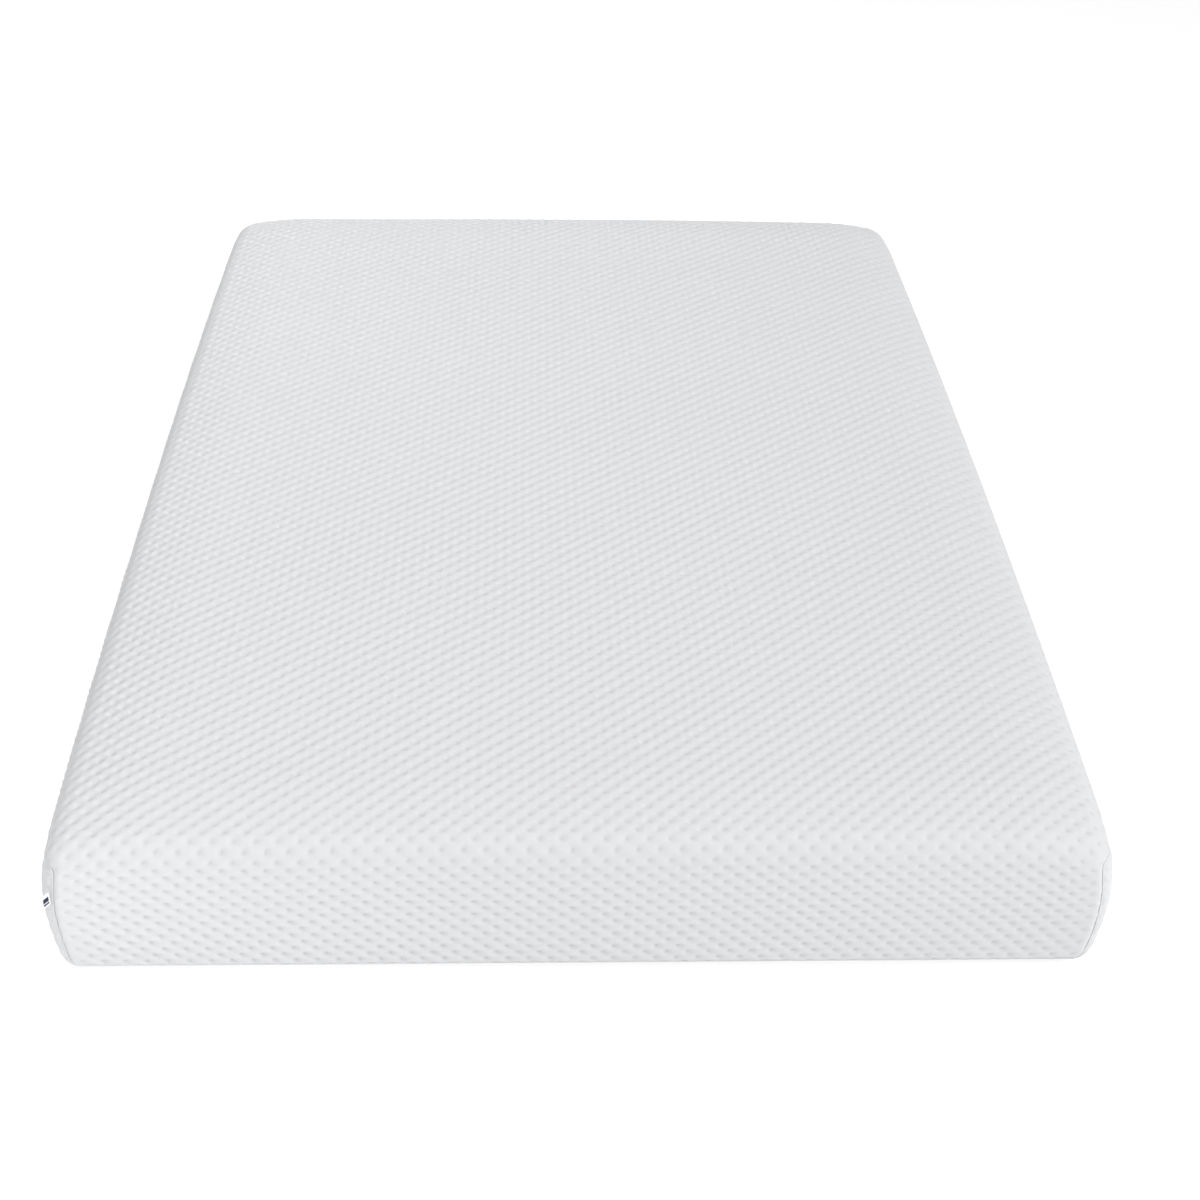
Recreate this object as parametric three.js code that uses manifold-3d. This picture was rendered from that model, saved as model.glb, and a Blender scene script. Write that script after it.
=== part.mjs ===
// Memory foam mattress with a removable, zipped knitted cover.
// Millimetres, +Z up. Origin: centre of the flat underside.
// +Y runs from the foot end to the head end, +X to the sleeper's left.
import * as THREE from 'three';
import { mergeVertices } from 'three/addons/utils/BufferGeometryUtils.js';
import Module from 'manifold-3d';

// ---------------------------------------------------------------- dimensions
const W = 1400;            // overall width of the cover
const L = 2000;            // overall length of the cover
const H = 230;             // overall depth
const R_CORNER = 45;       // plan radius of the four vertical corners
const R_TOP = 42;          // radius of the top edges
const R_BASE = 16;         // radius of the bottom edges
const T_COVER = 6;         // knit and its backing
const T_SLEEVE = 1.2;      // stockinette around the core
const GAP = 0.3;           // clearance between pieces that lie on each other

const Z_MEMORY = 172;      // underside of the memory foam
const Z_TRANSITION = 135;  // underside of the transition foam

const SEAM_W = 3;          // width of the overlocked seam ridges
const SEAM_PROUD = 1.2;    // how far a ridge stands out of the knit
const SEAM_IN_X = 26;      // corner seams: distance in from the side
const SEAM_DOWN_Z = 27;    // side seams: distance down from the top
const R_SEAM = 16;         // the seam's turn over the corner
const Z_BASE_SEAM = 13;    // height of the seam round the base panel

const Z_ZIP = 60;          // height of the zip's centre line
const ZIP_SLOT = 13;       // visible width between the panel edges
const ZIP_Y0 = -920;       // foot end of the chain (closed end)
const ZIP_Y1 = 920;        // head end of the chain
const TAPE_W = 15;         // width of one zip tape
const TAPE_X = 695.9;      // inner face of the tapes
const TAPE_T = 1.0;
const COIL_W = 2.5;        // width of one coil
const COIL_T = 2.2;        // height of a coil over its tape
const COIL_SPLIT = 1.2;    // room for the slider's wedge between the coils
const SLIDER_Y = -899;     // slider's centre with the zip closed
const SLIDER_L = 15;
const SLIDER_W = 9.4;
const PULL_L = 34;

// ---------------------------------------------------------------- helpers
const wasm = await Module();
wasm.setup();

function solid(geometry) {
  const g = geometry.clone();
  g.deleteAttribute('normal');
  g.deleteAttribute('uv');
  const m = mergeVertices(g, 1e-4);
  const pos = m.getAttribute('position');
  const index = m.getIndex();
  return new wasm.Manifold(new wasm.Mesh({
    numProp: 3,
    vertProperties: new Float32Array(pos.array),
    triVerts: new Uint32Array(index.array),
  }));
}

function geometryOf(manifold) {
  const mesh = manifold.getMesh();
  const g = new THREE.BufferGeometry();
  const n = mesh.numProp;
  const count = mesh.vertProperties.length / n;
  const p = new Float32Array(count * 3);
  for (let i = 0; i < count; i++) {
    p[3 * i] = mesh.vertProperties[n * i];
    p[3 * i + 1] = mesh.vertProperties[n * i + 1];
    p[3 * i + 2] = mesh.vertProperties[n * i + 2];
  }
  g.setAttribute('position', new THREE.BufferAttribute(p, 3));
  g.setIndex(new THREE.BufferAttribute(new Uint32Array(mesh.triVerts), 1));
  g.computeVertexNormals();
  return g;
}

// A rectangle from (x0, y0) to (x1, y1) with its own radius at each corner:
// r = [bottom left, bottom right, top right, top left].
function roundedShape(x0, y0, x1, y1, r) {
  const [bl, br, tr, tl] = r;
  const s = new THREE.Shape();
  s.moveTo(x0 + bl, y0);
  s.lineTo(x1 - br, y0);
  if (br > 0) s.absarc(x1 - br, y0 + br, br, -Math.PI / 2, 0, false);
  s.lineTo(x1, y1 - tr);
  if (tr > 0) s.absarc(x1 - tr, y1 - tr, tr, 0, Math.PI / 2, false);
  s.lineTo(x0 + tl, y1);
  if (tl > 0) s.absarc(x0 + tl, y1 - tl, tl, Math.PI / 2, Math.PI, false);
  s.lineTo(x0, y0 + bl);
  if (bl > 0) s.absarc(x0 + bl, y0 + bl, bl, Math.PI, 1.5 * Math.PI, false);
  return s;
}

// Extrusions of a shape along each axis, between two stations.
function alongZ(shape, z0, z1, seg = 3) {
  const g = new THREE.ExtrudeGeometry(shape, { depth: z1 - z0, bevelEnabled: false, curveSegments: seg });
  g.translate(0, 0, z0);
  return g;
}
function alongY(shape, y0, y1, seg = 3) {      // shape in (x, z)
  const g = new THREE.ExtrudeGeometry(shape, { depth: y1 - y0, bevelEnabled: false, curveSegments: seg });
  g.rotateX(Math.PI / 2);
  g.translate(0, y1, 0);
  return g;
}
function alongX(shape, x0, x1, seg = 3) {      // shape in (y, z)
  const g = new THREE.ExtrudeGeometry(shape, { depth: x1 - x0, bevelEnabled: false, curveSegments: seg });
  g.rotateX(Math.PI / 2);
  g.rotateZ(Math.PI / 2);
  g.translate(x0, 0, 0);
  return g;
}
function block(x0, x1, y0, y1, z0, z1) {
  const g = new THREE.BoxGeometry(x1 - x0, y1 - y0, z1 - z0);
  g.translate((x0 + x1) / 2, (y0 + y1) / 2, (z0 + z1) / 2);
  return solid(g);
}

// The mattress's outer form, grown by d (negative: shrunk) on every face.
function body(d) {
  const x = W / 2 + d, y = L / 2 + d, z0 = -d, z1 = H + d;
  const rc = R_CORNER + d, rt = R_TOP + d, rb = R_BASE + d;
  const plan = solid(alongZ(roundedShape(-x, -y, x, y, [rc, rc, rc, rc]), z0, z1));
  const across = solid(alongY(roundedShape(-x, z0, x, z1, [rb, rb, rt, rt]), -y, y));
  const along = solid(alongX(roundedShape(-y, z0, y, z1, [rb, rb, rt, rt]), -x, x));
  return plan.intersect(across).intersect(along);
}

// The region on the outer side of a corner seam, grown by e. side = -1 or 1.
function sideRegion(side, e) {
  const inner = W / 2 - SEAM_IN_X - e, outer = W / 2 + 80;
  const top = H - SEAM_DOWN_Z + e, low = -80;
  const r = R_SEAM + e;
  const s = side < 0
    ? roundedShape(-outer, low, -inner, top, [0, 0, r, 0])
    : roundedShape(inner, low, outer, top, [0, 0, 0, r]);
  return solid(alongY(s, -L / 2 - 80, L / 2 + 80, 2));
}
function slab(z0, z1) {
  return block(-W / 2 - 90, W / 2 + 90, -L / 2 - 90, L / 2 + 90, z0, z1);
}

const group = new THREE.Group();
function add(name, geometry, colour, roughness, metalness = 0, parent = group) {
  const material = new THREE.MeshStandardMaterial({ color: colour, roughness, metalness });
  const mesh = new THREE.Mesh(geometry, material);
  mesh.name = name;
  parent.add(mesh);
  return mesh;
}

// ---------------------------------------------------------------- foam core
const inner = body(-(T_COVER + GAP + T_SLEEVE + GAP));
add('support_foam', geometryOf(inner.intersect(slab(-10, Z_TRANSITION - GAP))), '#e9e6d8', 0.95);
add('transition_foam', geometryOf(inner.intersect(slab(Z_TRANSITION, Z_MEMORY - GAP))), '#dfe7ee', 0.95);
add('memory_foam', geometryOf(inner.intersect(slab(Z_MEMORY, H + 10))), '#f4f0e4', 0.92);

// Stockinette sleeve, pulled over the core from the foot; its mouth is at the head.
const sleeve = body(-(T_COVER + GAP))
  .subtract(inner.add(body(-(T_COVER + GAP + T_SLEEVE))))
  .subtract(block(-600, 600, L / 2 - 30, L / 2 + 30, 40, 190));
add('core_sleeve', geometryOf(sleeve), '#f2f2ef', 0.95);

// ---------------------------------------------------------------- cover shell
const outer = body(0);
const cavity = body(-T_COVER);
const shell = outer.subtract(cavity);
const ridgeBand = body(SEAM_PROUD).subtract(cavity);
const half = SEAM_W / 2;
const baseTop = Z_BASE_SEAM + half;
const baseLow = Z_BASE_SEAM - half;

const leftIn = sideRegion(-1, -(half + GAP));
const leftOut = sideRegion(-1, half + GAP);
const rightIn = sideRegion(1, -(half + GAP));
const rightOut = sideRegion(1, half + GAP);
const above = slab(baseTop + GAP, H + 90);

const topPanel = shell.intersect(above).subtract(leftOut).subtract(rightOut);
add('top_panel', geometryOf(topPanel), '#f3f3f3', 0.9);
add('base_panel', geometryOf(shell.intersect(slab(-50, baseLow - GAP))), '#e4e4e4', 0.95);

const seamL = ridgeBand.intersect(sideRegion(-1, half).subtract(sideRegion(-1, -half))).intersect(above);
const seamR = ridgeBand.intersect(sideRegion(1, half).subtract(sideRegion(1, -half))).intersect(above);
const baseSeam = ridgeBand.intersect(slab(baseLow, baseTop));
add('base_seam', geometryOf(baseSeam), '#efefef', 0.9);

add('side_panel_left', geometryOf(shell.intersect(above).intersect(leftIn)), '#f1f1f1', 0.9);

// ---------------------------------------------------------------- zip side
// The right-hand border is cut in two along the zip; the tapes are held in a
// fold along each edge.
const slotLow = Z_ZIP - ZIP_SLOT / 2, slotHigh = Z_ZIP + ZIP_SLOT / 2;
const slotY0 = ZIP_Y0 - 24, slotY1 = ZIP_Y1 + 24;
const tapeY0 = ZIP_Y0 - 12, tapeY1 = ZIP_Y1 + 12;
const tapeSlot = block(TAPE_X - GAP, TAPE_X + TAPE_T + GAP, tapeY0 - GAP, tapeY1 + GAP,
  Z_ZIP - TAPE_W - 0.4 - GAP, Z_ZIP + TAPE_W + 0.4 + GAP);
const mouth = block(W / 2 - 30, W / 2 + 30, slotY0, slotY1, slotLow, slotHigh);
const rightWall = shell.intersect(above).intersect(rightIn).subtract(mouth).subtract(tapeSlot);
// Beyond the zip's ends the cut is a plain butted join, GAP wide.
const cut = block(W / 2 - 90, W / 2 + 30, -L / 2 - 30, L / 2 + 30, Z_ZIP - GAP / 2, Z_ZIP + GAP / 2);
const rightPieces = rightWall.subtract(cut);
add('side_panel_right', geometryOf(rightPieces.intersect(slab(Z_ZIP, H + 90))), '#f1f1f1', 0.9);
add('side_strip_right', geometryOf(rightPieces.intersect(slab(-90, Z_ZIP))), '#f1f1f1', 0.9);

const tapeLen = tapeY1 - tapeY0, tapeMid = (tapeY0 + tapeY1) / 2;
function box(w, l, h) { return new THREE.BoxGeometry(w, l, h); }
const tapeUp = add('zip_tape_upper', box(TAPE_T, tapeLen, TAPE_W), '#f0f0f0', 0.85);
tapeUp.position.set(TAPE_X + TAPE_T / 2, tapeMid, Z_ZIP + 0.4 + TAPE_W / 2);
const tapeLo = add('zip_tape_lower', box(TAPE_T, tapeLen, TAPE_W), '#f0f0f0', 0.85);
tapeLo.position.set(TAPE_X + TAPE_T / 2, tapeMid, Z_ZIP - 0.4 - TAPE_W / 2);

// Coils: long half-round bars sewn to the tapes, one each side of the split.
const coilX = TAPE_X + TAPE_T + GAP;
function coilShape(z0, z1) {
  return roundedShape(coilX, z0, coilX + COIL_T, z1, [0, 0.7, 0.7, 0]);
}
const coilY0 = ZIP_Y0 + 10, coilY1 = ZIP_Y1 - 6;
add('zip_coil_upper', geometryOf(solid(alongY(coilShape(Z_ZIP + COIL_SPLIT / 2, Z_ZIP + COIL_SPLIT / 2 + COIL_W), coilY0, coilY1, 2))), '#ececec', 0.45);
add('zip_coil_lower', geometryOf(solid(alongY(coilShape(Z_ZIP - COIL_SPLIT / 2 - COIL_W, Z_ZIP - COIL_SPLIT / 2), coilY0, coilY1, 2))), '#ececec', 0.45);

// Stops: two crimped clips at the closed end, one staple across both tapes at
// the open end.
function stopShape(z0, z1) {
  return roundedShape(coilX, z0, coilX + 2.0, z1, [0, 0.6, 0.6, 0]);
}
add('zip_top_stop_upper', geometryOf(solid(alongY(stopShape(Z_ZIP + 0.8, Z_ZIP + 3.2), ZIP_Y0 + 3.5, ZIP_Y0 + 9.5, 2))), '#c9cbcd', 0.35, 0.9);
add('zip_top_stop_lower', geometryOf(solid(alongY(stopShape(Z_ZIP - 3.2, Z_ZIP - 0.8), ZIP_Y0 + 3.5, ZIP_Y0 + 9.5, 2))), '#c9cbcd', 0.35, 0.9);
add('zip_bottom_stop', geometryOf(solid(alongY(stopShape(Z_ZIP - 3.4, Z_ZIP + 3.4), ZIP_Y1 - 5.5, ZIP_Y1 - 1, 2))), '#c9cbcd', 0.35, 0.9);

// Knitted tabs that close the two ends of the zip's slot.
function endTab(y0, y1) {
  const s = roundedShape(y0, slotLow + GAP, y1, slotHigh - GAP, [2.5, 2.5, 2.5, 2.5]);
  const plate = solid(alongX(s, TAPE_X - GAP, W / 2 + 0.9, 2));
  return plate.subtract(tapeSlot);
}
function tabOver(y0, y1) {
  // Only the part of the tab that lies over the tapes and fills the slot's end.
  const tab = endTab(y0, y1).intersect(block(coilX, W / 2 + 5, y0 - 1, y1 + 1, 0, H));
  return tab;
}
add('zip_end_tab_foot', geometryOf(tabOver(slotY0 + GAP, ZIP_Y0 + 1)), '#f1f1f1', 0.9);
add('zip_end_tab_head', geometryOf(tabOver(ZIP_Y1 + 1, slotY1 - GAP)), '#f1f1f1', 0.9);

// ---------------------------------------------------------------- slider
// A back plate behind the tapes and a front plate over the coils, joined by a
// thin wedge that runs between the coils; the front plate carries two ears
// with the pull's pin hole between them.
const backX0 = TAPE_X - GAP - 1.3, backX1 = TAPE_X - GAP;
const frontX0 = coilX + COIL_T + GAP, frontX1 = frontX0 + 1.3;
function plate(x0, x1, len, wid) {
  return solid(alongX(roundedShape(-len / 2, -wid / 2, len / 2, wid / 2, [3, 3, 3, 3]), x0, x1, 2));
}
let slider = plate(backX0, backX1, SLIDER_L, SLIDER_W)
  .add(plate(frontX0, frontX1, SLIDER_L, SLIDER_W))
  .add(block(backX1 - 0.3, frontX0 + 0.3, -SLIDER_L / 2 + 1, -SLIDER_L / 2 + 5, -0.22, 0.22));
// Ears: they hold the pull's cross pin, which lies along Z.
const earX1 = frontX1 + 3.2;
function ear(z0, z1) {
  const s = roundedShape(-2.2, frontX1 - 0.3, 2.2, earX1, [0, 0, 2.0, 2.0]);
  return solid(alongZ(shapeSwap(s), z0, z1, 3));
}
function shapeSwap(s) {
  // (y, x) profile to (x, y) profile, keeping the winding.
  const pts = s.getPoints(3).map((p) => new THREE.Vector2(p.y, p.x)).reverse();
  return new THREE.Shape(pts);
}
const pinX = frontX1 + 1.5;
const pinHole = (() => {
  const g = new THREE.CylinderGeometry(0.75, 0.75, 12, 12);
  g.rotateX(Math.PI / 2);
  g.translate(pinX, 0, 0);
  return solid(g);
})();
slider = slider.add(ear(2.3, 3.6)).add(ear(-3.6, -2.3)).subtract(pinHole);
const sliderNode = add('zip_slider', geometryOf(slider), '#c4c6c8', 0.35, 0.9);
sliderNode.position.set(0, SLIDER_Y, Z_ZIP);

// Pull tab: a flat tag whose head is a pin between the slider's ears. It lies
// along the zip towards the head with the zip closed.
const pin = (() => {
  const g = new THREE.CylinderGeometry(0.6, 0.6, 6.8, 12);
  g.rotateX(Math.PI / 2);
  g.translate(pinX, 0, 0);
  return solid(g);
})();
const tag = solid(alongX(roundedShape(0, -2.0, PULL_L * 0.3, 2.0, [0.3, 0.3, 0.3, 0.3]), pinX - 0.45, pinX + 0.55, 2))
  .add(solid(alongX(roundedShape(PULL_L * 0.25, -4, PULL_L, 4, [1.5, 3.6, 3.6, 1.5]), pinX - 0.45, pinX + 0.55, 2)));
const eye = (() => {
  const g = new THREE.CylinderGeometry(2.1, 2.1, 8, 16);
  g.rotateZ(Math.PI / 2);
  g.translate(pinX, PULL_L - 6, 0);
  return solid(g);
})();
const pullNode = add('zip_pull', geometryOf(tag.add(pin).subtract(eye)), '#c4c6c8', 0.35, 0.9);
pullNode.position.set(0, SLIDER_Y, Z_ZIP);

// ---------------------------------------------------------------- labels
// Each label is sewn into a vertical corner seam and turns about the seam's
// line: a folded woven label at the foot end on the left, a care label at the
// head end on the right.
const PIVOT_OUT = 0.9;                        // fold line, off the seam ridge
const SEAM_ANGLE = Math.acos((R_CORNER - SEAM_IN_X) / R_CORNER);
function seamPoint(sx, sy) {
  const r = R_CORNER + SEAM_PROUD + PIVOT_OUT;
  return [sx * (W / 2 - R_CORNER + r * Math.cos(SEAM_ANGLE)),
    sy * (L / 2 - R_CORNER + r * Math.sin(SEAM_ANGLE))];
}
const LABEL_Z = 144.5, LABEL_TALL = 20, LABEL_OUT = 16, LABEL_T = 1.2;
const LABEL_ANGLE = Math.PI + 52 * Math.PI / 180;   // direction of the free fold, from +X
const CARE_Z = 112, CARE_TALL = 60, CARE_OUT = 32, CARE_T = 1.0;
const CARE_ANGLE = 60 * Math.PI / 180;

function flag(out, tall, t) {
  // Root near the fold line, pointing along +X, with a rounded free fold.
  const s = roundedShape(0.9, -t / 2, out, t / 2, [0, t * 0.45, t * 0.45, 0]);
  return alongZ(s, -tall / 2, tall / 2, 2);
}
const label = add('seam_label', flag(LABEL_OUT, LABEL_TALL, LABEL_T), '#fafafa', 0.6);
label.position.set(...seamPoint(-1, -1), LABEL_Z);
label.rotation.z = LABEL_ANGLE;
const care = add('care_label', flag(CARE_OUT, CARE_TALL, CARE_T), '#fafafa', 0.5);
care.position.set(...seamPoint(1, 1), CARE_Z);
care.rotation.z = CARE_ANGLE;

// ---------------------------------------------------------------- side seams
add('seam_left', geometryOf(seamL), '#efefef', 0.9);
add('seam_right', geometryOf(seamR), '#efefef', 0.9);

export default group;
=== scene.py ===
"""Memory foam mattress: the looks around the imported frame. Metres, row frame: +Z up, +Y foot to head, +X right."""

import math

import bpy
import numpy as np
from mathutils import Matrix, Vector


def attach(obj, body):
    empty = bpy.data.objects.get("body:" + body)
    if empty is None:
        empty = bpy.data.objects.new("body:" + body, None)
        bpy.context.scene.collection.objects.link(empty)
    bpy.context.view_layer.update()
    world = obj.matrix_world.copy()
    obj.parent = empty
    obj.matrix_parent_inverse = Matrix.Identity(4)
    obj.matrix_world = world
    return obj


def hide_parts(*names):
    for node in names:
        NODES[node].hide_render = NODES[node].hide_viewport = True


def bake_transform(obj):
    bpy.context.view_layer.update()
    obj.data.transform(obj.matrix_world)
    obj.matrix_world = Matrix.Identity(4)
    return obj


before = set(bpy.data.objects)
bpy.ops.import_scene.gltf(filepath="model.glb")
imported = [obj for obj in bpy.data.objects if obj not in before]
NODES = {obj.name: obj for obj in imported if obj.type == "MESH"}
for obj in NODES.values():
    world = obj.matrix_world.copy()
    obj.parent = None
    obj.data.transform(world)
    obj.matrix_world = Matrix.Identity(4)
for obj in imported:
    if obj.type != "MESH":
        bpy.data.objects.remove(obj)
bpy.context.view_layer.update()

# ---------------------------------------------------------------- overall form
H = 0.230  # depth
HALF_X, HALF_Y = 0.700, 1.000
RAD = 0.0268  # rounding of the cover's corners at rest
MID = 0.01068  # how far the sides stand out at mid depth
BOW_X = 0.00988  # how far the long sides bow out between their corners
BOW_FOOT, BOW_HEAD = -0.00093, 0.01389  # the same for the ends
CROWN = 0.00793  # rise of the middle of the top
EDGE, EDGE_W = 0.01632, 0.13047  # softening of the top towards its edges
SHIFT_Y = -0.0069
HX = HALF_X - BOW_X - MID
HY = HALF_Y - MID - 0.5 * BOW_HEAD
LX, LY, LZ = HX - RAD, HY - RAD, H - 2 * RAD

CELL_S, CELL_T = 0.02753, 0.02465  # knit cell across and along
RELIEF = 0.00200  # half of the knit's relief
COVER = 0.0060  # thickness of the cover
rad, pi = math.radians, math.pi

SEAM_PLAN = rad(65)  # plan angle of the corner seam, from X
SEAM_UP = rad(20.5)  # how far up the top rounding the side seam lies
SEAM_DOWN = rad(31)  # how far down the bottom rounding the base seam lies
SEAM_TURN = 0.012  # radius of the seam's turn at the top corner
W_END = LY + RAD * SEAM_PLAN
Q_TOP = LZ + RAD * SEAM_UP
Q_BOT = -RAD * SEAM_DOWN

ZIP_Z = 0.060
ZIP_HALF = 0.944  # half length of the zip's slot
ZIP_GAP = 0.0065  # half width of the slot


def smooth(a, b, x):
    t = np.clip((np.asarray(x, float) - a) / (b - a), 0, 1)
    return t * t * (3 - 2 * t)


def deform(p):
    """A point of the plain rounded box as it lies in the stretched cover."""
    p = np.asarray(p, float)
    x, y, z = p[..., 0], p[..., 1], p[..., 2]
    u, v = np.clip(x / HX, -1, 1), np.clip(y / HY, -1, 1)
    g = smooth(0.0, 0.12, z)
    m = np.clip(np.sin(pi * np.clip(z / H, 0, 1)), 0, 1) ** 0.8
    dx = (BOW_X * (1 - v * v) * g + MID * m) / HX
    by = np.where(y < 0, BOW_FOOT, BOW_HEAD)
    dy = (by * (1 - u * u) * g + MID * m) / HY
    up = smooth(0.35 * H, H, z)
    fx = np.clip(1 - (HX - np.abs(x)) / EDGE_W, 0, 1) ** 2
    fy = np.clip(1 - (HY - np.abs(y)) / EDGE_W, 0, 1) ** 2
    rise = CROWN * (1 - np.abs(u) ** 2.2) * (1 - np.abs(v) ** 2.2) - EDGE * (fx + fy)
    xo, yo, zo = x * (1 + dx), y * (1 + dy) + SHIFT_Y, z + rise * up
    # the right-hand border is drawn straight along the zip
    along = 1 - smooth(0.930, 0.970, np.abs(yo))
    band = smooth(0.020, 0.044, z) * (1 - smooth(0.080, 0.118, z))
    side = HX + BOW_X * (1 - v * v) * g + MID * m
    xo = xo + (HALF_X - side) * along * band * smooth(0.60, 0.66, x)
    return np.stack([xo, yo, zo], -1)


def waves(x, y, seed, n=7, low=1.0, high=3.0):
    """Smooth seeded undulation between about -1 and 1."""
    r = np.random.RandomState(seed)
    out = 0
    for _ in range(n):
        k, a, ph = r.uniform(low, high), r.uniform(0, 2 * pi), r.uniform(0, 2 * pi)
        out = out + np.cos(2 * pi * k * (x * math.cos(a) + y * math.sin(a)) + ph)
    return out / math.sqrt(n) / 1.5


def knit(s, t, seed):
    """Relief of the bubble knit, up to 1 on a bubble, and a mask for painted shade that falls from 1 to -1 in a tie
    point.
    """
    s2 = s + 0.0016 * waves(s, t, seed, low=0.8, high=2.6)
    t2 = t + 0.0016 * waves(s, t, seed + 1, low=0.8, high=2.6)
    c = np.cos(2 * pi * s2 / CELL_S) * np.cos(2 * pi * t2 / CELL_T)
    u = (1 - c) / 2
    pit = u**5
    return 1 - 0.95 * u**1.7 - 1.35 * pit, 1 - 2 * pit


# ---------------------------------------------------------------- mesh helpers
def mesh_of(name, verts, polys, st=None, sharp=None):
    """A mesh object from vertices and a list of face index arrays, all faces turned outwards."""
    verts = np.ascontiguousarray(np.asarray(verts, float).reshape(-1, 3))
    polys = [np.asarray(p, np.int64) for p in polys if len(p)]
    vol = 0.0
    for p in polys:
        a = verts[p[:, 0]]
        for k in range(1, p.shape[1] - 1):
            vol += float(np.einsum("ij,ij->i", a, np.cross(verts[p[:, k]], verts[p[:, k + 1]])).sum())
    if vol < 0:
        polys = [p[:, ::-1] for p in polys]
    loops = np.concatenate([p.ravel() for p in polys]).astype(np.int32)
    sizes = np.concatenate([np.full(len(p), p.shape[1]) for p in polys])
    starts = np.concatenate([[0], np.cumsum(sizes)[:-1]]).astype(np.int32)
    me = bpy.data.meshes.new(name)
    me.vertices.add(len(verts))
    me.vertices.foreach_set("co", verts.astype(np.float32).ravel())
    me.loops.add(len(loops))
    me.loops.foreach_set("vertex_index", loops)
    me.polygons.add(len(sizes))
    me.polygons.foreach_set("loop_start", starts)
    me.update(calc_edges=True)
    me.polygons.foreach_set("use_smooth", np.ones(len(sizes), bool))
    if st is not None:
        at = me.attributes.new("st", "FLOAT_VECTOR", "POINT")
        at.data.foreach_set("vector", np.asarray(st, np.float32).reshape(-1))
    if sharp:
        me.set_sharp_from_angle(angle=rad(sharp))
    me.update()
    ob = bpy.data.objects.new(name, me)
    bpy.context.scene.collection.objects.link(ob)
    return ob


def quads(nr, nc, base=0, wide=None):
    """Quads of a grid with nr by nc cells."""
    wide = wide or nc + 1
    i, j = np.meshgrid(np.arange(nr), np.arange(nc), indexing="ij")
    a = base + i * wide + j
    return np.stack([a, a + 1, a + wide + 1, a + wide], -1).reshape(-1, 4)


def shell(name, outer, inner, st, step=8):
    """A closed panel of cloth: a fine outer grid, a coarse inner grid, and a rim that joins them."""
    nr, nc = outer.shape[0] - 1, outer.shape[1] - 1
    mr, mc = nr // step, nc // step
    no = (nr + 1) * (nc + 1)
    o = lambda i, j: i * (nc + 1) + j
    n = lambda i, j: no + i * (mc + 1) + j
    k = np.arange(mc)
    r = np.arange(mr)
    fan = np.arange(step, -1, -1)
    rims = [
        np.concatenate([o(0, k[:, None] * step + fan), n(0, k)[:, None], n(0, k + 1)[:, None]], 1),
        np.concatenate([o(nr, k[:, None] * step + fan[::-1]), n(mr, k + 1)[:, None], n(mr, k)[:, None]], 1),
        np.concatenate([o(r[:, None] * step + fan[::-1], 0), n(r + 1, 0)[:, None], n(r, 0)[:, None]], 1),
        np.concatenate([o(r[:, None] * step + fan, nc), n(r, mc)[:, None], n(r + 1, mc)[:, None]], 1),
    ]
    inside = quads(mr, mc, no)[:, ::-1]
    verts = np.concatenate([outer.reshape(-1, 3), inner.reshape(-1, 3)])
    st_all = np.concatenate([st.reshape(-1, 3), st[::step, ::step].reshape(-1, 3)])
    return mesh_of(name, verts, [quads(nr, nc), inside] + rims, st_all, sharp=70)


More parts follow.
